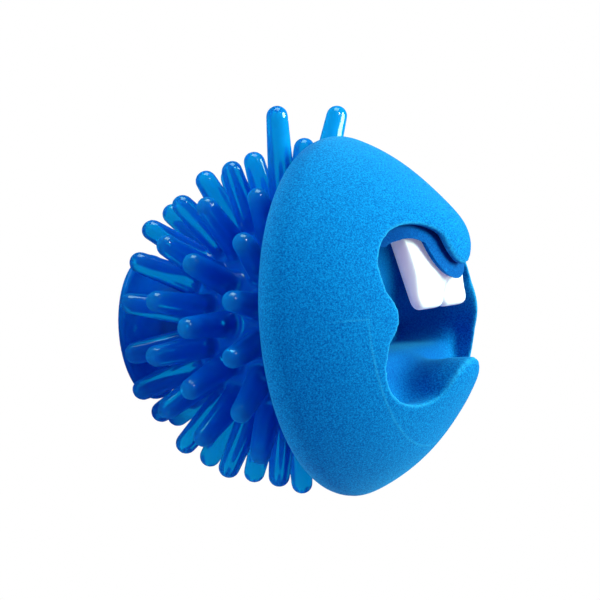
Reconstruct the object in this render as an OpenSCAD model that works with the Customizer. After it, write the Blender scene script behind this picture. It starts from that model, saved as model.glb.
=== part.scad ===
// Treat dispensing ball: a foam face with a toothed mouth on a hollow, spiky rubber half.
// The ball stands on its foot with the mouth up: +Z points out of the mouth, +Y to the brow
// and +X across the mouth. The origin is the middle of the foot's flat underside.

/* [Ball] */
// Outer diameter of the foam face
ball_d = 90; // [80:1:100]
// Distance from the ball's centre forward to the flat back of the foam face
rim_ahead = 8.6; // [8.6:0.1:13]
// Radius of the round edge between the dome and that back
rim_edge_r = 6; // [1:0.1:6.5]
// Distance from the foot's underside up to the ball's centre
foot_drop = 37.5; // [35:0.5:42]

/* [Mouth outline] */
// Distance across from the middle to the centre of each lobe
lobe_out = 15.4; // [15:0.1:16]
// Height of the upper lobes' centres above the middle
upper_lobe_up = 9.3; // [8.5:0.1:9.8]
// Radius of the upper lobes
upper_lobe_r = 11.1; // [10.5:0.1:11.5]
// Depth of the lower lobes' centres below the middle
lower_lobe_down = 9.2; // [8.5:0.1:9.8]
// Radius of the lower lobes
lower_lobe_r = 11.1; // [10.5:0.1:11.5]
// Height of the upper lip's edge above the middle
upper_lip_up = 10.4; // [9.5:0.1:11.5]
// Radius of the upper lip's round end
upper_lip_r = 8; // [7.5:0.1:9]
// Depth of the lower lip's edge below the middle
lower_lip_down = 10.9; // [10.8:0.1:12]
// Radius of the lower lip's round end
lower_lip_r = 9.6; // [9:0.1:11]
// Distance across from the middle to each cheek's bulge
cheek_out = 24.2; // [23:0.1:25.5]
// Radius of the cheek's bulge
cheek_r = 10.2; // [8:0.1:12]

/* [Mouth depth] */
// Thickness of the upper lip over the gum pocket
lip_wall = 2; // [1.6:0.1:2.4]
// Depth of the floor behind the lips below the dome's foremost point
floor_depth = 15; // [14:0.1:16]
// Depth of the throat slot from that floor to the end of the neck
throat_depth = 14; // [12:0.1:15]
// Half the width of the throat slot
throat_half_w = 25.5; // [24:0.1:26]
// How far the throat's sides stand in from the cheeks' bulges
throat_inset = 0.4; // [0.2:0.1:2]
// Height of the throat slot's upper edge above the middle
throat_up = 16.5; // [16:0.1:17.5]
// Depth of the throat slot's lower edge below the middle
throat_down = 8; // [6:0.1:9]
// Corner radius of the throat slot
throat_corner_r = 4; // [2:0.1:5]

/* [Gum] */
// Half the width of the gum
gum_half_w = 26.3; // [20:0.1:26.3]
// Height of the gum's top above the middle
gum_up = 20.4; // [19.5:0.1:21]
// How far the gum shows within the mouth's outline
gum_show = 3.2; // [2.4:0.1:3.6]
// Half the width of the gum's middle part, which hangs behind the upper lip
gum_mid_half_w = 13.5; // [12:0.1:15]
// Height of the gum's lower edge above the middle, beside that part
gum_side_up = 13.5; // [12:0.1:15]

/* [Teeth] */
// Width of one tooth
tooth_w = 14; // [12:0.1:14.4]
// Thickness of one tooth
tooth_t = 3.3; // [2.6:0.1:3.6]
// Length of one tooth from its hinge line to its edge
tooth_len = 18; // [16:0.1:19]
// Radius of the tooth's rounded edges
tooth_edge_r = 1.2; // [0.8:0.1:1.25]
// Radius of the tooth's two corners at its free end
tooth_corner_r = 2.6; // [2.5:0.1:5]
// Gap between the two teeth
tooth_split = 0.8; // [0.3:0.1:1.2]
// Height of the hinge line above the middle
hinge_up = 18.3; // [17.8:0.1:18.5]
// Depth of the hinge line below the pocket's roof, at the teeth's outer sides
hinge_cover = 3.05; // [2.6:0.05:3.5]
// Angle by which the teeth lean outwards at their edge
tooth_lean = 15.4; // [12:0.1:17]

/* [Spiky half] */
// Outer radius of the hollow core
core_r = 24; // [22:0.5:25]
// Wall of the hollow core
core_wall = 3; // [2:0.1:4]
// Outer radius of the neck that plugs into the foam face
neck_r = 19.5; // [19:0.1:20.5]
// Wall of the neck
neck_wall = 3; // [2:0.1:3.5]
// Distance from the ball's centre to the spikes' tips
spike_reach = 41; // [38:0.5:44]
// Distance from the ball's centre to the tip of the top spike in the front row
top_spike_reach = 43; // [38:0.5:44]
// Distance from the ball's centre to the tips of the two long spikes beside it
long_spike_reach = 54; // [44:0.5:56]
// Radius of a spike at its root
spike_root_r = 3.25; // [2.4:0.05:3.25]
// Radius of a long spike at its root
long_spike_root_r = 3.5; // [2.4:0.05:3.6]
// Radius of a spike's round tip
spike_tip_r = 2.4; // [1.6:0.05:2.5]
// Angle by which the spikes' rows are turned forward at the top
row_tilt = 4.7; // [0:0.1:6]

/* [Foot] */
// Radius of the foot's flange
foot_r = 17.4; // [14:0.1:18]
// Thickness of the foot's flange at its edge
foot_t = 1.9; // [1.4:0.1:3]
// Radius of the stem between the foot and the core
stem_r = 9; // [7:0.1:12]
// Height of the flare from the flange to the stem
flare_h = 7; // [4:0.1:9]

/* [Clearances] */
// Gap where glued foam and rubber faces meet
seat_gap = 0.15; // [0.1:0.05:0.3]
// Gap between the gum and the moving teeth
tooth_gap = 0.3; // [0.2:0.05:0.5]
// Gap between the core and the spikes and foot, which are moulded in one with it
root_gap = 0.05; // [0.02:0.01:0.1]

/* [Hidden] */
$fn = 96;
spike_facets = 24;
tooth_facets = 24;
ball_r = ball_d / 2;
ball_z = foot_drop;
// Cuts run past the faces that they open by this much
overrun = ball_r;
pocket_r = ball_r - lip_wall;
gum_low = upper_lip_up - gum_show;
floor_ahead = ball_r - floor_depth;
neck_ahead = floor_ahead - throat_depth;
chamber_r = core_r - core_wall;
neck_bore_r = neck_r - neck_wall;
// Distance across from the middle to the teeth's outer sides
teeth_out = tooth_w + tooth_split / 2;
hinge_ahead = sqrt(pow(pocket_r, 2) - pow(teeth_out, 2) - pow(hinge_up, 2)) - hinge_cover;
// Each row of spikes: angle from the mouth's axis, count, and turn of its first spike from +X.
// In the front row the first spike is the top one, and the two beside it are long.
SPIKE_ROWS = [[86, 18, 90], [104.5, 16, 90], [119.5, 16, 81], [141, 14, 95]];

// The mouth as it is seen from the front; a positive inset draws the whole outline inwards
module mouth_2d(inset = 0) {
    difference() {
        union() {
            for (side = [-1, 1]) {
                translate([side * lobe_out, upper_lobe_up]) circle(r = upper_lobe_r - inset);
                translate([side * lobe_out, -lower_lobe_down]) circle(r = lower_lobe_r - inset);
            }
            half_w = lobe_out + upper_lobe_r - inset;
            translate([-half_w, -lower_lobe_down]) square([2 * half_w, lower_lobe_down + upper_lobe_up]);
            translate([-lobe_out, -lobe_out]) square(2 * lobe_out);
        }
        lip_2d(upper_lip_up, upper_lip_r, inset);
        mirror([0, 1]) lip_2d(lower_lip_down, lower_lip_r, inset);
        cheeks_2d(inset);
    }
}

// The cheeks' bulges, on both sides
module cheeks_2d(inset) {
    for (side = [-1, 1])
        translate([side * (cheek_out + cheek_r), 0]) circle(r = cheek_r + inset);
}

// A lip's round end, and the foam that it hangs from
module lip_2d(edge, r, inset) {
    translate([0, edge + r]) circle(r = r + inset);
    translate([-r - inset, edge + r]) square([2 * (r + inset), overrun]);
}

// A rectangle with round corners, from low_y to high_y
module round_slot_2d(half_w, low_y, high_y, r) {
    translate([-half_w, low_y + r]) square([2 * half_w, high_y - low_y - 2 * r]);
    translate([-half_w + r, low_y]) square([2 * (half_w - r), high_y - low_y]);
    for (x = [-half_w + r, half_w - r], y = [low_y + r, high_y - r])
        translate([x, y]) circle(r = r);
}

// The gum's plan: a wide band, and its middle part that reaches lower behind the upper lip
module gum_2d(gap = 0) {
    side_w = gum_half_w + gap;
    mid_w = gum_mid_half_w + gap;
    translate([-side_w, gum_side_up - gap]) square([2 * side_w, gum_up - gum_side_up + 2 * gap]);
    translate([-mid_w, gum_low - gap]) square([2 * mid_w, gum_up - gum_low]);
}

// Moves to the ball's centre
module at_centre() {
    translate([0, 0, ball_z]) children();
}

// Moves to the teeth's hinge line and leans with the teeth: -Y runs down the tooth, +Z out of it
module at_hinge() {
    translate([0, hinge_up, ball_z + hinge_ahead]) rotate([-tooth_lean, 0, 0]) children();
}

// Half the dome's section: the ball's circle, a round edge and the flat back
module dome_2d() {
    edge_y = rim_ahead + rim_edge_r;
    edge_x = sqrt(pow(ball_r - rim_edge_r, 2) - pow(edge_y, 2));
    far = 2 * ball_r / (ball_r - rim_edge_r);
    intersection() {
        circle(r = ball_r);
        polygon([
            [0, rim_ahead],
            [edge_x, rim_ahead],
            [edge_x, edge_y],
            [far * edge_x, far * edge_y],
            [0, far * ball_r]
        ]);
    }
    translate([edge_x, edge_y]) circle(r = rim_edge_r);
}

// The foam dome with its mouth, gum pocket, throat and the socket for the spiky half
module foam_face() {
    color("dodgerblue") difference() {
        at_centre() rotate_extrude() dome_2d();
        translate([0, 0, ball_z + floor_ahead]) linear_extrude(overrun) mouth_2d();
        intersection() {
            at_centre() sphere(r = pocket_r);
            translate([0, 0, ball_z + floor_ahead]) linear_extrude(overrun) gum_2d(seat_gap);
        }
        translate([0, 0, ball_z + neck_ahead]) linear_extrude(throat_depth + lip_wall)
            difference() {
                round_slot_2d(throat_half_w, -throat_down, throat_up, throat_corner_r);
                cheeks_2d(throat_inset);
            }
        at_centre() core_outside(seat_gap);
    }
}

// The gum: a curved ledge behind the upper lip, cut flat behind where it faces the teeth
module upper_gum() {
    color("royalblue") difference() {
        intersection() {
            at_centre() sphere(r = pocket_r - seat_gap);
            translate([0, 0, ball_z + floor_ahead]) linear_extrude(overrun) gum_2d();
        }
        translate([0, 0, ball_z]) linear_extrude(overrun) mouth_2d(gum_show);
        room = teeth_out + tooth_gap;
        at_hinge() translate([-room, -overrun, -overrun])
            cube([2 * room, 2 * overrun, overrun + tooth_t / 2 + tooth_gap]);
    }
}

// A disc of radius r with a round rim, which shapes one corner of a tooth
module tooth_corner(r) {
    rotate_extrude($fn = tooth_facets) intersection() {
        translate([r - tooth_edge_r, 0]) circle(r = tooth_edge_r, $fn = tooth_facets);
        translate([0, -tooth_edge_r]) square([r, 2 * tooth_edge_r]);
    }
}

// One tooth, on the given side of the middle
module tooth(side) {
    mid_x = side * (tooth_w + tooth_split) / 2;
    root_x = tooth_w / 2 - tooth_edge_r;
    end_x = tooth_w / 2 - tooth_corner_r;
    edge_z = tooth_t / 2 - tooth_edge_r;
    at_hinge() hull()
        for (s = [-1, 1], z = [-edge_z, edge_z]) {
            translate([mid_x + s * root_x, 0, z]) tooth_corner(tooth_edge_r);
            translate([mid_x + s * end_x, tooth_corner_r - tooth_len, z]) tooth_corner(tooth_corner_r);
        }
}

module tooth_left() {
    color("white") tooth(-1);
}

module tooth_right() {
    color("white") tooth(1);
}

// The outside of the core with its neck, cut flat at the neck's end and grown by gap
module core_outside(gap = 0) {
    difference() {
        sphere(r = core_r + gap);
        translate([0, 0, neck_ahead + gap]) cylinder(h = overrun, r = core_r + overrun);
    }
    cylinder(h = neck_ahead + gap, r = neck_r + gap);
}

// The hollow core of the spiky half, with the neck that plugs into the foam face
module spiky_shell() {
    color("deepskyblue") at_centre() difference() {
        core_outside();
        sphere(r = chamber_r);
        cylinder(h = neck_ahead + overrun, r = neck_bore_r);
    }
}

// One spike along +Z from the ball's centre; its root's edge lies on the core
module spike(reach, root_r) {
    root = sqrt(pow(core_r, 2) - pow(root_r, 2));
    translate([0, 0, root])
        cylinder(h = reach - spike_tip_r - root, r1 = root_r, r2 = spike_tip_r, $fn = spike_facets);
    translate([0, 0, reach - spike_tip_r]) sphere(r = spike_tip_r, $fn = spike_facets);
}

// A row of spikes round the core; with_long gives it the top spike and the long ones beside it
module spike_row(row, with_long = false) {
    angle = SPIKE_ROWS[row][0];
    count = SPIKE_ROWS[row][1];
    first = SPIKE_ROWS[row][2];
    color("deepskyblue") at_centre() rotate([row_tilt, 0, 0]) difference() {
        for (k = [0 : count - 1])
            rotate([0, angle, first + k * 360 / count])
                if (with_long && k == 0)
                    spike(top_spike_reach, spike_root_r);
                else if (with_long && (k == 1 || k == count - 1))
                    spike(long_spike_reach, long_spike_root_r);
                else
                    spike(spike_reach, spike_root_r);
        sphere(r = core_r + root_gap);
    }
}

module front_spikes() {
    spike_row(0, true);
}

module middle_spikes() {
    spike_row(1);
}

module rear_spikes() {
    spike_row(2);
}

module foot_spikes() {
    spike_row(3);
}

// The foot: a flat flange with a round edge, flared into the stem that meets the core
module foot() {
    edge = foot_t / 2;
    color("deepskyblue") difference() {
        union() {
            cylinder(h = foot_t, r = foot_r - edge);
            translate([0, 0, edge]) rotate_extrude() translate([foot_r - edge, 0])
                circle(r = edge, $fn = spike_facets);
            translate([0, 0, foot_t]) cylinder(h = flare_h, r1 = foot_r - foot_t, r2 = stem_r);
            cylinder(h = ball_z - chamber_r, r = stem_r);
        }
        at_centre() sphere(r = core_r + root_gap);
    }
}

foam_face();
upper_gum();
tooth_left();
tooth_right();
spiky_shell();
front_spikes();
middle_spikes();
rear_spikes();
foot_spikes();
foot();
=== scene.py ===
import math
import random

import bpy
from mathutils import Matrix, Vector


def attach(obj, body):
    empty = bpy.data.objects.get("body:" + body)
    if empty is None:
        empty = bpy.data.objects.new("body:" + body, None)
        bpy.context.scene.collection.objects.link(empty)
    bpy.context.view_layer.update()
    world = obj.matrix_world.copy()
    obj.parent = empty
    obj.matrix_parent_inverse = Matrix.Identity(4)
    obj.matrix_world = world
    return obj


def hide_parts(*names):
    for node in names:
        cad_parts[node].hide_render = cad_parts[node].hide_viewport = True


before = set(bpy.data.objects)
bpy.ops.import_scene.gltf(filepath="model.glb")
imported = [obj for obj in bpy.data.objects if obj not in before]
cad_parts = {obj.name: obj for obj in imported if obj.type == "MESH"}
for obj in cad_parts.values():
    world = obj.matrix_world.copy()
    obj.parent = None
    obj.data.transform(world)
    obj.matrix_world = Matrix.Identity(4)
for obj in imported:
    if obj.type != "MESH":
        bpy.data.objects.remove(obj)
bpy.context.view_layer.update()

MM = 0.001

# Sizes of the ball, as its solids have them
BALL_R = 45 * MM
BALL_CENTRE = Vector((0, 0, 37.5 * MM))
CORE_R = 24 * MM
CHAMBER_R = 21 * MM
NECK_R = 19.5 * MM
NECK_BORE_R = 16.5 * MM
NECK_TOP = 16 * MM
FOOT_R = 17.4 * MM
FOOT_T = 1.9 * MM
FLARE_H = 7 * MM
STEM_R = 9 * MM
SPIKE_REACH = 41 * MM
TOP_SPIKE_REACH = 43 * MM
LONG_SPIKE_REACH = 54 * MM
SPIKE_ROOT_R = 3.25 * MM
LONG_SPIKE_ROOT_R = 3.5 * MM
SPIKE_TIP_R = 2.4 * MM
ROW_TILT = math.radians(4.7)
# Each row of spikes: angle from the mouth's axis, count, and turn of its first spike from +X
SPIKE_ROWS = [(86, 18, 90), (104.5, 16, 90), (119.5, 16, 81), (141, 14, 95)]

# How deep a spike's root sits in the core, how much wider it flares there, and the number of
# equal parts of its length of which the first one flares
SPIKE_SUNK = 1.5 * MM
SPIKE_FLARE = 0.9 * MM
SPIKE_FLARE_PARTS = 5
# The seed of the spikes' differences, how uneven they are in length and how far their tips bend
# at most, both in mm
SPIKE_SEED = 7
SPIKE_UNEVEN = 0.5
SPIKE_BEND = 1.0
# What the smoothing of the rubber's skin takes off a spike's radius
EASE = 0.12 * MM

# Steps along a spike and over its round tip, and the sides of a spike and of the core
SPIKE_STEPS = 14
TIP_STEPS = 7
SPIKE_SIDES = 24
CORE_SIDES = 128
# Points on the core's long arcs and on its short ones, and where its profile starts, as a
# distance, and ends, as an angle, to stay just off the axis
LONG_ARC = 40
SHORT_ARC = 9
AXIS_GAP = 0.05 * MM
AXIS_ANGLE = -89.8

# The gum's depth below the dome, the share of its thickness that is kept, the height to which
# its ends are drawn up and by what share, and where across the mouth that starts and is full
GUM_DEPTH = 2.15 * MM
GUM_THIN_SHARE = 0.3
GUM_END_UP = 17 * MM
GUM_END_SHARE = 0.65
GUM_ENDS = (15 * MM, 19 * MM)

# The shares of the lips' puff that the gum and the teeth's roots take on
GUM_PUFF_SHARE = 0.75
TOOTH_PUFF_SHARE = 0.35

# The teeth's hinge (y, z), their lean, and the reach of their roots from the ball's centre
TOOTH_HINGE = (18.3 * MM, 70.6 * MM)
TOOTH_LEAN = math.radians(15.4)
TOOTH_ROOT_R = 41.6 * MM
# Where the filling of a tooth's front starts and is full: before its middle, and in height
TOOTH_FRONT = (0, 1.5 * MM)
TOOTH_ROOT = (2 * MM, 10 * MM)

# How the lips' ends puff up: each one's height above the middle and its lift, the spread across
# and up, and the depths below the dome between which the puffs die out
LIP_PUFFS = [(19 * MM, 3.2 * MM), (-14 * MM, 2.2 * MM)]
LIP_PUFF_W = 16 * MM
LIP_PUFF_H = 8 * MM
LIP_PUFF_DEPTH = (2.5 * MM, 6 * MM)

# The depths below the dome between which the rounding of the mouth's edges dies out
SKIN_DEPTH = (0.8 * MM, 2.4 * MM)
# Between which places the rolling of the mouth's floor comes in or dies out: depth below the
# dome, depth below the throat's end, height above the middle, and distance to the side
FLOOR_DEPTH = (4 * MM, 7 * MM)
FLOOR_THROAT = (-4 * MM, 0)
FLOOR_Y = (0, 5 * MM)
FLOOR_X = (27 * MM, 30 * MM)

# The voxels of each piece's rebuilt skin and the passes that smooth it, and the passes for the
# mouth's edges and its floor
FACE_SKIN = (0.5 * MM, 6)
GUM_SKIN = (0.25 * MM, 6)
TOOTH_SKIN = (0.25 * MM, 12)
RUBBER_SKIN = (0.4 * MM, 3)
EDGE_PASSES = 30
FLOOR_PASSES = 400

# The ring that the mould leaves round the mouth, the width of its lines, where the short lines
# end and over what length they fade, the heights on the face between which the ring fades, and
# the heights above the ball's centre between which all of them fade
MOULD_RING_R = 31 * MM
MOULD_LINE_W = 0.35 * MM
MOULD_LINE_END = 33.5 * MM
MOULD_LINE_FADE = 4 * MM
MOULD_RING_Y = (-8 * MM, 4 * MM)
MOULD_FRONT = (20 * MM, 16 * MM)
# How much the lines are paler and how much they rise out of the foam's bumps
LINE_PALE = 0.15
LINE_RISE = 0.3

# The edges' sharpness at which the foam gets its full painted highlight and at which it gets
# none, and by what share it is paler there: a highlight painted where rounded edges catch light
HIGHLIGHT_EDGES = (0.56, 0.51)
HIGHLIGHT_SHARE = 0.45

# Where shade is painted into the foam as a darker colour, and by what share: distances and heights
# from the ball's centre between which the painted shade deep in the mouth fades, and distances to
# the side between which the painted shade at the gum's ends does
SHADE_INSIDE_R = (36 * MM, 42.5 * MM)
SHADE_INSIDE_FRONT = (17 * MM, 12 * MM)
SHADE_ENDS = (17 * MM, 11 * MM)
SHADE_SHARE = 0.6

# The distances from the centre between which the rubber's milk goes from its deep colour to the
# lighter colour of the tips, painted light for the light through the thin tips, the share of milk,
# the foot's extra share, and the height over which the extra fades
TIP_LIGHT_R = (26 * MM, 41 * MM)
MILK_SHARE = 0.43
FOOT_MILK_SHARE = 0.5
FOOT_MILK_H = 6 * MM

# The photograph's view
PHOTO_SIDE = 600
PIXELS_PER_MM = 4.244
BALL_CENTRE_PIXEL = (292, 319)
CAMERA_TURN = math.radians(24)
CAMERA_RISE = math.radians(1.5)
IMAGE_ROLL = math.radians(4)
LENS = 200
SENSOR = 36
CLIP_START = 0.01

# The lamps' distance from the ball's centre, half of the floor's side, and its gap below the foot
LAMP_DISTANCE = 0.8
FLOOR_HALF = 3.0
FLOOR_GAP = 0.05 * MM


def photo_axes():
    """The photograph's right, its up and the way to the camera, in the part's frame."""
    toward = Vector((
        -math.cos(CAMERA_TURN) * math.cos(CAMERA_RISE),
        math.sin(CAMERA_RISE),
        math.sin(CAMERA_TURN) * math.cos(CAMERA_RISE),
    ))
    side = Vector((math.sin(CAMERA_TURN), 0, math.cos(CAMERA_TURN)))
    rise = toward.cross(side)
    right = side * math.cos(IMAGE_ROLL) - rise * math.sin(IMAGE_ROLL)
    up = side * math.sin(IMAGE_ROLL) + rise * math.cos(IMAGE_ROLL)
    return right, up, toward


RIGHT, UP, TOWARD = photo_axes()


def make_camera():
    """A long lens at the photograph's angle, which puts the ball's centre on its pixel."""
    across = (PHOTO_SIDE / 2 - BALL_CENTRE_PIXEL[0]) / PIXELS_PER_MM * MM
    above = (BALL_CENTRE_PIXEL[1] - PHOTO_SIDE / 2) / PIXELS_PER_MM * MM
    distance = PHOTO_SIDE / PIXELS_PER_MM * MM * LENS / SENSOR
    camera = bpy.data.cameras.new("photo_camera")
    camera.lens = LENS
    camera.sensor_width = SENSOR
    camera.clip_start = CLIP_START
    body = bpy.data.objects.new("photo_camera", camera)
    spot = BALL_CENTRE + RIGHT * across + UP * above + TOWARD * distance
    turn = Matrix((RIGHT, UP, TOWARD)).transposed().to_4x4()
    body.matrix_world = Matrix.Translation(spot) @ turn
    bpy.context.scene.collection.objects.link(body)
    bpy.context.scene.camera = body


# Materials

def srgb(r, g, b):
    """A colour read in 8-bit sRGB, as a shader's linear colour."""
    def linear(v):
        v /= 255
        return v / 12.92 if v <= 0.04045 else ((v + 0.055) / 1.055) ** 2.4
    return (linear(r), linear(g), linear(b), 1)


def set_inputs(node, values):
    """Sets a node's own sockets by their names."""
    for name, value in values.items():
        node.inputs[name].default_value = value


def shader(name):
    """A new material, its node tree and its main shader."""
    material = bpy.data.materials.new(name)
    material.use_nodes = True
    tree = material.node_tree
    return material, tree, tree.nodes["Principled BSDF"]


def noise(tree, scale, detail=2.0, roughness=0.5):
    """Noise that is fixed to the object, with scale in cycles per metre."""
    place = tree.nodes.new("ShaderNodeTexCoord")
    texture = tree.nodes.new("ShaderNodeTexNoise")
    set_inputs(texture, {"Scale": scale, "Detail": detail, "Roughness": roughness})
    tree.links.new(place.outputs["Object"], texture.inputs["Vector"])
    return texture.outputs["Fac"]


def ramp(tree, value, stops):
    """A colour ramp over value, with stops of (place, colour)."""
    node = tree.nodes.new("ShaderNodeValToRGB")
    while len(node.color_ramp.elements) < len(stops):
        node.color_ramp.elements.new(0.5)
    for element, (place, colour) in zip(node.color_ramp.elements, stops):
        element.position = place
        element.color = colour
    tree.links.new(value, node.inputs["Fac"])
    return node.outputs["Color"]


def bump(tree, main, height, strength, depth):
    """Bumps the main shader's surface by height, at most depth metres high."""
    node = tree.nodes.new("ShaderNodeBump")
    set_inputs(node, {"Strength": strength, "Distance": depth})
    tree.links.new(height, node.inputs["Height"])
    tree.links.new(node.outputs["Normal"], main.inputs["Normal"])


def math_node(tree, operation, *values):
    """One operation on up to three values or sockets."""
    node = tree.nodes.new("ShaderNodeMath")
    node.operation = operation
    for socket, value in zip(node.inputs, values):
        if isinstance(value, bpy.types.NodeSocket):
            tree.links.new(value, socket)
        else:
            socket.default_value = value
    return node.outputs[0]


def product(tree, first, *others):
    """The product of values or sockets."""
    for other in others:
        first = math_node(tree, "MULTIPLY", first, other)
    return first


def apart(tree, value, place):
    """How far a value lies from a place, on either side of it."""
    return math_node(tree, "ABSOLUTE", math_node(tree, "SUBTRACT", value, place))


def length(tree, first, *others):
    """The length of a vector that is given by its parts."""
    total = math_node(tree, "MULTIPLY", first, first)
    for part in others:
        total = math_node(tree, "MULTIPLY_ADD", part, part, total)
    return math_node(tree, "SQRT", total)


def fade(tree, value, full, none):
    """1 where value is full and 0 where it is none, with a straight change between them."""
    node = tree.nodes.new("ShaderNodeMapRange")
    set_inputs(node, {"From Min": full, "From Max": none, "To Min": 1, "To Max": 0})
    tree.links.new(value, node.inputs["Value"])
    return node.outputs["Result"]


def place_parts(tree):
    """X, Y and height above the ball's centre, in metres."""
    place = tree.nodes.new("ShaderNodeTexCoord")
    axes = tree.nodes.new("ShaderNodeSeparateXYZ")
    tree.links.new(place.outputs["Object"], axes.inputs[0])
    x, y, z = axes.outputs
    return x, y, math_node(tree, "SUBTRACT", z, BALL_CENTRE.z)


def mould_lines(tree, x, y, z):
    """The faint ring round the mouth's lower half, and the short lines out from its sides."""
    out = length(tree, x, y)
    ring = product(
        tree,
        fade(tree, apart(tree, out, MOULD_RING_R), 0, MOULD_LINE_W),
        fade(tree, y, *MOULD_RING_Y),
    )
    side = product(
        tree,
        fade(tree, apart(tree, y, 0), 0, MOULD_LINE_W),
        fade(tree, out, MOULD_LINE_END, MOULD_LINE_END + MOULD_LINE_FADE),
        fade(tree, out, MOULD_RING_R, MOULD_RING_R - MOULD_LINE_W),
    )
    lines = math_node(tree, "MAXIMUM", ring, side)
    return product(tree, lines, fade(tree, z, *MOULD_FRONT))


def mix_colour(tree, share, a, b):
    """Colour a, turned to b by a share."""
    node = tree.nodes.new("ShaderNodeMix")
    node.data_type = "RGBA"
    tree.links.new(share, node.inputs["Factor"])
    tree.links.new(a, node.inputs["A"])
    node.inputs["B"].default_value = b
    return node.outputs["Result"]


def foam_material(name, dark, light, edge, is_face):
    """Closed-cell foam, matte and speckled, with painted highlights on edges and painted shade."""
    material, tree, main = shader(name)
    cells = noise(tree, 2600, roughness=0.7)
    colour = ramp(tree, cells, [(0.35, dark), (0.65, light)])
    shape = tree.nodes.new("ShaderNodeNewGeometry")
    # Sharp edges are painted paler: a painted highlight where the rounded edges catch the light
    edge_highlight = product(tree, fade(tree, shape.outputs["Pointiness"], *HIGHLIGHT_EDGES), HIGHLIGHT_SHARE)
    colour = mix_colour(tree, edge_highlight, colour, edge)
    height = noise(tree, 1300, detail=3, roughness=0.7)
    x, y, z = place_parts(tree)
    if is_face:
        line = mould_lines(tree, x, y, z)
        colour = mix_colour(tree, product(tree, line, LINE_PALE), colour, edge)
        height = math_node(tree, "MULTIPLY_ADD", line, LINE_RISE, height)
        # Painted shade: the foam deep in the mouth is coloured darker, where little light reaches
        near = fade(tree, length(tree, x, y, z), *SHADE_INSIDE_R)
        inside = product(tree, near, fade(tree, z, *SHADE_INSIDE_FRONT), SHADE_SHARE)
        colour = mix_colour(tree, inside, colour, srgb(0, 66, 156))
    else:
        # Painted shade: the gum's two ends are coloured darker, where the lip's overhang shades
        # them
        end_shade = product(tree, fade(tree, apart(tree, x, 0), *SHADE_ENDS), SHADE_SHARE)
        colour = mix_colour(tree, end_shade, colour, srgb(0, 40, 118))
    tree.links.new(colour, main.inputs["Base Color"])
    set_inputs(main, {
        "Roughness": 0.85,
        "Specular IOR Level": 0.15,
        "Specular Tint": srgb(0, 190, 255),
        "Sheen Weight": 0.3,
        "Sheen Roughness": 0.5,
        "Sheen Tint": srgb(60, 180, 255),
    })
    bump(tree, main, height, strength=0.4, depth=0.2 * MM)
    return material


def tooth_material():
    """Smooth white soft plastic with a faint waviness, which light passes a little, and a painted
    glow.
    """
    material, tree, main = shader("tooth_white")
    stops = [(0.3, srgb(234, 230, 246)), (0.7, srgb(250, 246, 255))]
    tree.links.new(ramp(tree, noise(tree, 90), stops), main.inputs["Base Color"])
    set_inputs(main, {
        "Roughness": 0.4,
        "Subsurface Weight": 0.4,
        "Subsurface Radius": (1, 1, 1),
        "Subsurface Scale": 2.5 * MM,
        # A painted glow: the teeth give off a little light, though they are no lamp, to lift their
        # shaded sides
        "Emission Color": (0.6, 0.63, 0.68, 1),
        "Emission Strength": 0.25,
    })
    bump(tree, main, noise(tree, 260), strength=0.25, depth=0.2 * MM)
    return material


def rubber_material():
    """Translucent blue rubber, coloured by its depth, with a milk painted lighter towards the
    tips.
    """
    material, tree, main = shader("clear_rubber")
    stops = [(0.3, srgb(0, 212, 250)), (0.7, srgb(0, 222, 253))]
    tree.links.new(ramp(tree, noise(tree, 60), stops), main.inputs["Base Color"])
    set_inputs(main, {
        "Roughness": 0.06,
        "IOR": 1.42,
        "Transmission Weight": 1,
        "Coat Weight": 0.6,
        "Coat IOR": 1.9,
        "Coat Roughness": 0.05,
    })
    waves = noise(tree, 150)
    bump(tree, main, waves, strength=0.15, depth=0.3 * MM)
    milk = tree.nodes.new("ShaderNodeBsdfPrincipled")
    x, y, z = place_parts(tree)
    # Painted light: the milk is lighter towards the spikes' tips, standing in for light through
    # the thin tips
    tip_light_fade = fade(tree, length(tree, x, y, z), *TIP_LIGHT_R)
    stops = [(0, srgb(12, 150, 255)), (0.35, srgb(0, 120, 255)), (1, srgb(0, 100, 250))]
    tree.links.new(ramp(tree, tip_light_fade, stops), milk.inputs["Base Color"])
    set_inputs(milk, {"Roughness": 0.3, "Specular IOR Level": 0})
    bump(tree, milk, waves, strength=0.15, depth=0.3 * MM)
    mix = tree.nodes.new("ShaderNodeMixShader")
    foot_top = FOOT_T - BALL_CENTRE.z
    foot = fade(tree, z, foot_top, foot_top + FOOT_MILK_H)
    share = math_node(tree, "MULTIPLY_ADD", foot, FOOT_MILK_SHARE, MILK_SHARE)
    tree.links.new(share, mix.inputs[0])
    output = tree.nodes["Material Output"]
    tree.links.new(main.outputs[0], mix.inputs[1])
    tree.links.new(milk.outputs[0], mix.inputs[2])
    tree.links.new(mix.outputs[0], output.inputs["Surface"])
    depth = tree.nodes.new("ShaderNodeVolumeAbsorption")
    set_inputs(depth, {"Color": (0, 0.75, 0.92, 1), "Density": 190})
    tree.links.new(depth.outputs["Volume"], output.inputs["Volume"])
    return material


# Pieces

def link(name, mesh):
    """A new object that holds mesh."""
    piece = bpy.data.objects.new(name, mesh)
    bpy.context.scene.collection.objects.link(piece)
    return piece


def finish_piece(piece, body, nodes, material):
    """Gives a piece its material, its body and the nodes that it stands for."""
    piece.data.materials.clear()
    piece.data.materials.append(material)
    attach(piece, body)
    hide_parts(*nodes)


def apply_modifiers(piece):
    """Makes the piece's modifiers part of its mesh."""
    graph = bpy.context.evaluated_depsgraph_get()
    mesh = bpy.data.meshes.new_from_object(piece.evaluated_get(graph))
    piece.modifiers.clear()
    piece.data = mesh
    mesh.polygons.foreach_set("use_smooth", [True] * len(mesh.polygons))


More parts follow.
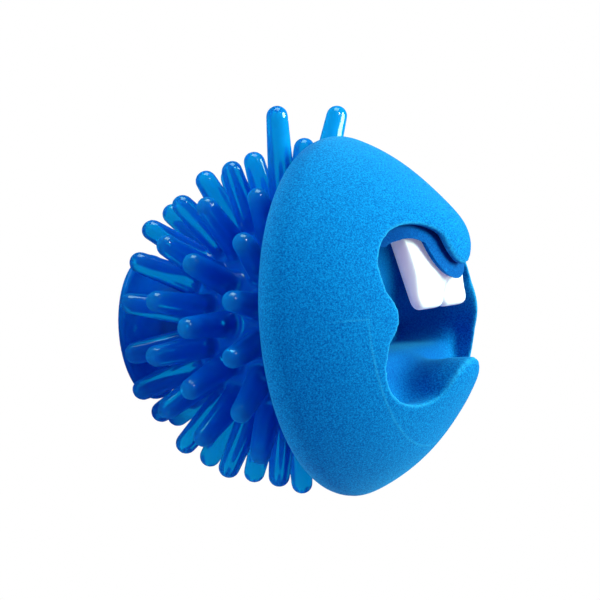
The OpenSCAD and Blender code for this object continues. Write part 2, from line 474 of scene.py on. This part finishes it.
def smooth(piece, passes, group=""):
    """Adds smoothing passes, of a group of vertices or of the whole piece."""
    ease = piece.modifiers.new("ease", "SMOOTH")
    ease.factor = 0.5
    ease.iterations = passes
    ease.vertex_group = group


def soften(piece, voxel, passes):
    """Rebuilds the piece as an even skin and rounds its edges, as a mould leaves them."""
    skin = piece.modifiers.new("skin", "REMESH")
    skin.mode = "VOXEL"
    skin.voxel_size = voxel
    smooth(piece, passes)
    apply_modifiers(piece)


def softened_copy(node, name, skin):
    """A copy of a node's mesh with rounded edges."""
    piece = link(name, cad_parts[node].data.copy())
    soften(piece, *skin)
    return piece


def blend(value, full, none):
    """1 up to full and 0 from none on, with a smooth change between them."""
    share = min(max((none - value) / (none - full), 0), 1)
    return share * share * (3 - 2 * share)


def smooth_where(piece, name, passes, weight):
    """Smooths a piece by a weight that is worked out for each vertex."""
    group = piece.vertex_groups.new(name=name)
    for vertex in piece.data.vertices:
        share = weight(vertex.co)
        if share > 0:
            group.add([vertex.index], share, "REPLACE")
    smooth(piece, passes, name)
    apply_modifiers(piece)


def puff(co):
    """How far the lips' puffs lift the dome at a point."""
    return sum(
        lift * math.exp(-(co.x / LIP_PUFF_W) ** 2 - ((co.y - height) / LIP_PUFF_H) ** 2)
        for height, lift in LIP_PUFFS
    )


def shape_face(face):
    """Puffs the lips' ends up, rounds the mouth's edges and rolls its floor into the throat."""
    def depth(co):
        return BALL_R - (co - BALL_CENTRE).length
    for vertex in face.data.vertices:
        vertex.co.z += puff(vertex.co) * blend(depth(vertex.co), *LIP_PUFF_DEPTH)
    smooth_where(face, "outer_skin", EDGE_PASSES, lambda co: blend(depth(co), *SKIN_DEPTH))
    throat_z = BALL_CENTRE.z + NECK_TOP
    smooth_where(face, "floor", FLOOR_PASSES, lambda co: (
        (1 - blend(depth(co), *FLOOR_DEPTH)) * blend(throat_z - co.z, *FLOOR_THROAT)
        * blend(co.y, *FLOOR_Y) * blend(abs(co.x), *FLOOR_X)
    ))


def shape_gum(gum):
    """Thins the gum to a ledge under the lip, narrows its two ends and puffs it with the lip."""
    for vertex in gum.data.vertices:
        ray = vertex.co - BALL_CENTRE
        depth = GUM_DEPTH + (BALL_R - ray.length - GUM_DEPTH) * GUM_THIN_SHARE
        vertex.co = BALL_CENTRE + ray.normalized() * (BALL_R - depth)
        end = 1 - blend(abs(vertex.co.x), *GUM_ENDS)
        vertex.co.y += end * GUM_END_SHARE * max(0, GUM_END_UP - vertex.co.y)
        vertex.co.z += GUM_PUFF_SHARE * puff(vertex.co)


def shape_tooth(tooth):
    """Fills the tooth's front out to the gum's back at its root."""
    for vertex in tooth.data.vertices:
        co = vertex.co
        middle = TOOTH_HINGE[1] + (TOOTH_HINGE[0] - co.y) * math.tan(TOOTH_LEAN)
        front = 1 - blend(co.z - middle, *TOOTH_FRONT)
        root = 1 - blend(co.y, *TOOTH_ROOT)
        filled = BALL_CENTRE.z + math.sqrt(TOOTH_ROOT_R ** 2 - co.x ** 2 - co.y ** 2)
        filled += TOOTH_PUFF_SHARE * puff(co)
        co.z += front * root * max(0, filled - co.z)


def lathe(points, count):
    """Vertices and faces of a closed profile of (radius, height) turned round +Z."""
    vertices, faces = [], []
    for k in range(count):
        turn = 2 * math.pi * k / count
        vertices += [(r * math.cos(turn), r * math.sin(turn), z) for r, z in points]
    n = len(points)
    for k in range(count):
        a, b = k * n, (k + 1) % count * n
        for i in range(n):
            j = (i + 1) % n
            faces.append((a + i, b + i, b + j, a + j))
    return vertices, faces


def arc(centre_z, r, start, end, count):
    """Points of (radius, height) on a circle round the axis, angles in degrees up from +X."""
    steps = [math.radians(start + (end - start) * i / (count - 1)) for i in range(count)]
    return [(r * math.cos(t), centre_z + r * math.sin(t)) for t in steps]


def core_profile():
    """The hollow core with its neck, stem and flared foot, as a profile from the foot's middle."""
    z = BALL_CENTRE.z
    edge = arc(FOOT_T / 2, FOOT_T / 2, -90, 90, SHORT_ARC)
    foot = [(AXIS_GAP, 0)] + [(FOOT_R - FOOT_T / 2 + r, h) for r, h in edge]
    flare = []
    for i in range(SHORT_ARC):
        turn = i / (SHORT_ARC - 1) * math.pi / 2
        flare.append((
            FOOT_R - FOOT_T - (FOOT_R - FOOT_T - STEM_R) * math.sin(turn),
            FOOT_T + FLARE_H * (1 - math.cos(turn)),
        ))
    low = -math.degrees(math.acos(STEM_R / CORE_R))
    high = math.degrees(math.acos(NECK_R / CORE_R))
    outside = arc(z, CORE_R, low, high, LONG_ARC)
    rim_r = (NECK_R - NECK_BORE_R) / 2
    rim = arc(z + NECK_TOP - rim_r, rim_r, 0, 180, SHORT_ARC)
    neck = [(NECK_R - rim_r + r, h) for r, h in rim]
    bore = math.degrees(math.acos(NECK_BORE_R / CHAMBER_R))
    inside = arc(z, CHAMBER_R, bore, AXIS_ANGLE, LONG_ARC)
    return foot + flare + outside + neck + inside


def spike_mesh(reach, root_r, bend, bend_turn):
    """Vertices and faces of one spike along +Z, with a flared root, a taper and a round tip."""
    root = CORE_R - SPIKE_SUNK
    tip_r = SPIKE_TIP_R + EASE
    root_r += EASE
    rings = []
    for i in range(SPIKE_STEPS + 1):
        share = i / SPIKE_STEPS
        flare = SPIKE_FLARE * max(0, 1 - share * SPIKE_FLARE_PARTS) ** 2
        rings.append((
            root + (reach - tip_r - root) * share,
            root_r + (tip_r - root_r) * share + flare,
        ))
    for i in range(1, TIP_STEPS):
        t = math.pi / 2 * i / TIP_STEPS
        rings.append((reach - tip_r + tip_r * math.sin(t), tip_r * math.cos(t)))
    sides = SPIKE_SIDES
    vertices, faces = [], []
    for z, r in rings:
        sway = bend * ((z - root) / (reach - root)) ** 2
        x, y = sway * math.cos(bend_turn), sway * math.sin(bend_turn)
        for k in range(sides):
            turn = 2 * math.pi * k / sides
            vertices.append((x + r * math.cos(turn), y + r * math.sin(turn), z))
    for i in range(len(rings) - 1):
        for k in range(sides):
            a, b = i * sides + k, i * sides + (k + 1) % sides
            faces.append((a, b, b + sides, a + sides))
    faces.append(tuple(reversed(range(sides))))
    faces.append(tuple(range((len(rings) - 1) * sides, len(rings) * sides)))
    return vertices, faces


def make_spiky_half():
    """The spiky half in one skin: core, neck, foot and every spike."""
    chance = random.Random(SPIKE_SEED)
    vertices, faces = lathe(core_profile(), CORE_SIDES)
    tilt = Matrix.Rotation(ROW_TILT, 4, "X")
    for row, (angle, count, first) in enumerate(SPIKE_ROWS):
        for k in range(count):
            reach, root_r = SPIKE_REACH, SPIKE_ROOT_R
            if row == 0 and k == 0:
                reach = TOP_SPIKE_REACH
            elif row == 0 and k in (1, count - 1):
                reach, root_r = LONG_SPIKE_REACH, LONG_SPIKE_ROOT_R
            reach += chance.uniform(-SPIKE_UNEVEN, SPIKE_UNEVEN) * MM
            bend = chance.uniform(0, SPIKE_BEND) * MM
            bend_turn = chance.uniform(0, 2 * math.pi)
            turn = math.radians(first + 360 * k / count)
            aim = Matrix.Rotation(turn, 4, "Z") @ Matrix.Rotation(math.radians(angle), 4, "Y")
            place = Matrix.Translation(BALL_CENTRE) @ tilt @ aim
            spike, skin = spike_mesh(reach, root_r, bend, bend_turn)
            base = len(vertices)
            vertices += [tuple(place @ Vector(v)) for v in spike]
            faces += [tuple(base + i for i in face) for face in skin]
    mesh = bpy.data.meshes.new("spiky_half")
    mesh.from_pydata(vertices, [], faces)
    piece = link("spiky_half", mesh)
    soften(piece, *RUBBER_SKIN)
    return piece


# Stage and light

def show_to(tree, rays, surface, other, output):
    """Replaces surface with the other shader for the named kinds of ray, at output."""
    path = tree.nodes.new("ShaderNodeLightPath")
    seen = path.outputs[rays[0]]
    for name in rays[1:]:
        seen = math_node(tree, "MAXIMUM", seen, path.outputs[name])
    mix = tree.nodes.new("ShaderNodeMixShader")
    tree.links.new(seen, mix.inputs[0])
    tree.links.new(surface, mix.inputs[1])
    tree.links.new(other, mix.inputs[2])
    tree.links.new(mix.outputs[0], output)
    return mix.outputs[0]


def make_stage():
    """A pale floor under the foot."""
    corners = [
        (x * FLOOR_HALF, y * FLOOR_HALF, 0) for x, y in ((-1, -1), (1, -1), (1, 1), (-1, 1))]
    mesh = bpy.data.meshes.new("floor")
    mesh.from_pydata(corners, [], [(0, 1, 2, 3)])
    floor = link("floor", mesh)
    floor.location.z = -FLOOR_GAP
    floor.visible_glossy = False
    material, tree, main = shader("floor")
    set_inputs(main, {"Base Color": (0.85, 0.85, 0.85, 1), "Roughness": 0.9})
    white = tree.nodes.new("ShaderNodeEmission")
    output = tree.nodes["Material Output"].inputs["Surface"]
    rays = ["Is Camera Ray", "Is Transmission Ray"]
    show_to(tree, rays, main.outputs[0], white.outputs[0], output)
    mesh.materials.append(material)


def add_lamp(name, way, size, power, colour):
    """A square lamp that shines on the ball from one way."""
    lamp = bpy.data.lights.new(name, "AREA")
    lamp.size = size
    lamp.energy = power
    lamp.color = colour
    body = bpy.data.objects.new(name, lamp)
    body.location = BALL_CENTRE + way.normalized() * LAMP_DISTANCE
    body.rotation_euler = way.to_track_quat("Z", "Y").to_euler()
    bpy.context.scene.collection.objects.link(body)


def background(tree, colour):
    """A background of one colour."""
    node = tree.nodes.new("ShaderNodeBackground")
    node.inputs["Color"].default_value = colour
    return node.outputs[0]


def make_light():
    """A key from the right, a lamp above, a small one for highlights, and a room."""
    add_lamp(
        "key", RIGHT * 0.92 + UP * 0.22 + TOWARD * 0.14,
        size=0.5, power=9.8, colour=(1, 1.5, 1.05))
    add_lamp(
        "top", UP * 0.95 + TOWARD * 0.1,
        size=0.5, power=2.4, colour=(1, 1.6, 1.1))
    add_lamp(
        "spark", RIGHT * 0.5 + UP * 0.6 + TOWARD * 0.6,
        size=0.1, power=0.9, colour=(1, 1, 1))
    world = bpy.data.worlds.new("room")
    world.use_nodes = True
    tree = world.node_tree
    shade = tree.nodes["Background"]
    shade.inputs["Color"].default_value = (0.24, 0.12, 0.33, 1)
    # Clear things see a white backdrop behind the ball and a dim room before it
    way = tree.nodes.new("ShaderNodeTexCoord")
    behind = tree.nodes.new("ShaderNodeVectorMath")
    behind.operation = "DOT_PRODUCT"
    behind.inputs[1].default_value = -TOWARD
    tree.links.new(way.outputs["Generated"], behind.inputs[0])
    stops = [(0.3, (0.04, 0.08, 0.14, 1)), (0.7, (1, 1, 1, 1))]
    room = tree.nodes.new("ShaderNodeBackground")
    tree.links.new(ramp(tree, behind.outputs["Value"], stops), room.inputs["Color"])
    dim = background(tree, (0.02, 0.08, 0.2, 1))
    white = background(tree, (1, 1, 1, 1))
    output = tree.nodes["World Output"].inputs["Surface"]
    seen = show_to(tree, ["Is Glossy Ray"], shade.outputs[0], dim, output)
    seen = show_to(tree, ["Is Transmission Ray"], seen, room.outputs[0], output)
    show_to(tree, ["Is Camera Ray"], seen, white, output)
    bpy.context.scene.world = world


make_camera()
# The third colour is the pale of the painted edge highlights, and on the face also of the mould
# lines
foam = foam_material("foam", srgb(0, 79, 165), srgb(10, 137, 214), srgb(64, 200, 248), True)
gum_foam = foam_material(
    "gum_foam", srgb(0, 60, 142), srgb(4, 92, 178), srgb(20, 122, 205), False)
tooth_white = tooth_material()
face = softened_copy("foam_face", "face", FACE_SKIN)
shape_face(face)
finish_piece(face, "ball", ["foam_face"], foam)
gum = softened_copy("upper_gum", "gum", GUM_SKIN)
shape_gum(gum)
finish_piece(gum, "ball", ["upper_gum"], gum_foam)
for side in ("left", "right"):
    tooth = softened_copy("tooth_" + side, "front_tooth_" + side, TOOTH_SKIN)
    shape_tooth(tooth)
    finish_piece(tooth, side + "_tooth", ["tooth_" + side], tooth_white)
RUBBER_NODES = (
    "spiky_shell", "front_spikes", "middle_spikes", "rear_spikes", "foot_spikes", "foot")
finish_piece(make_spiky_half(), "ball", RUBBER_NODES, rubber_material())
make_stage()
make_light()
bpy.context.scene.view_settings.view_transform = "Standard"
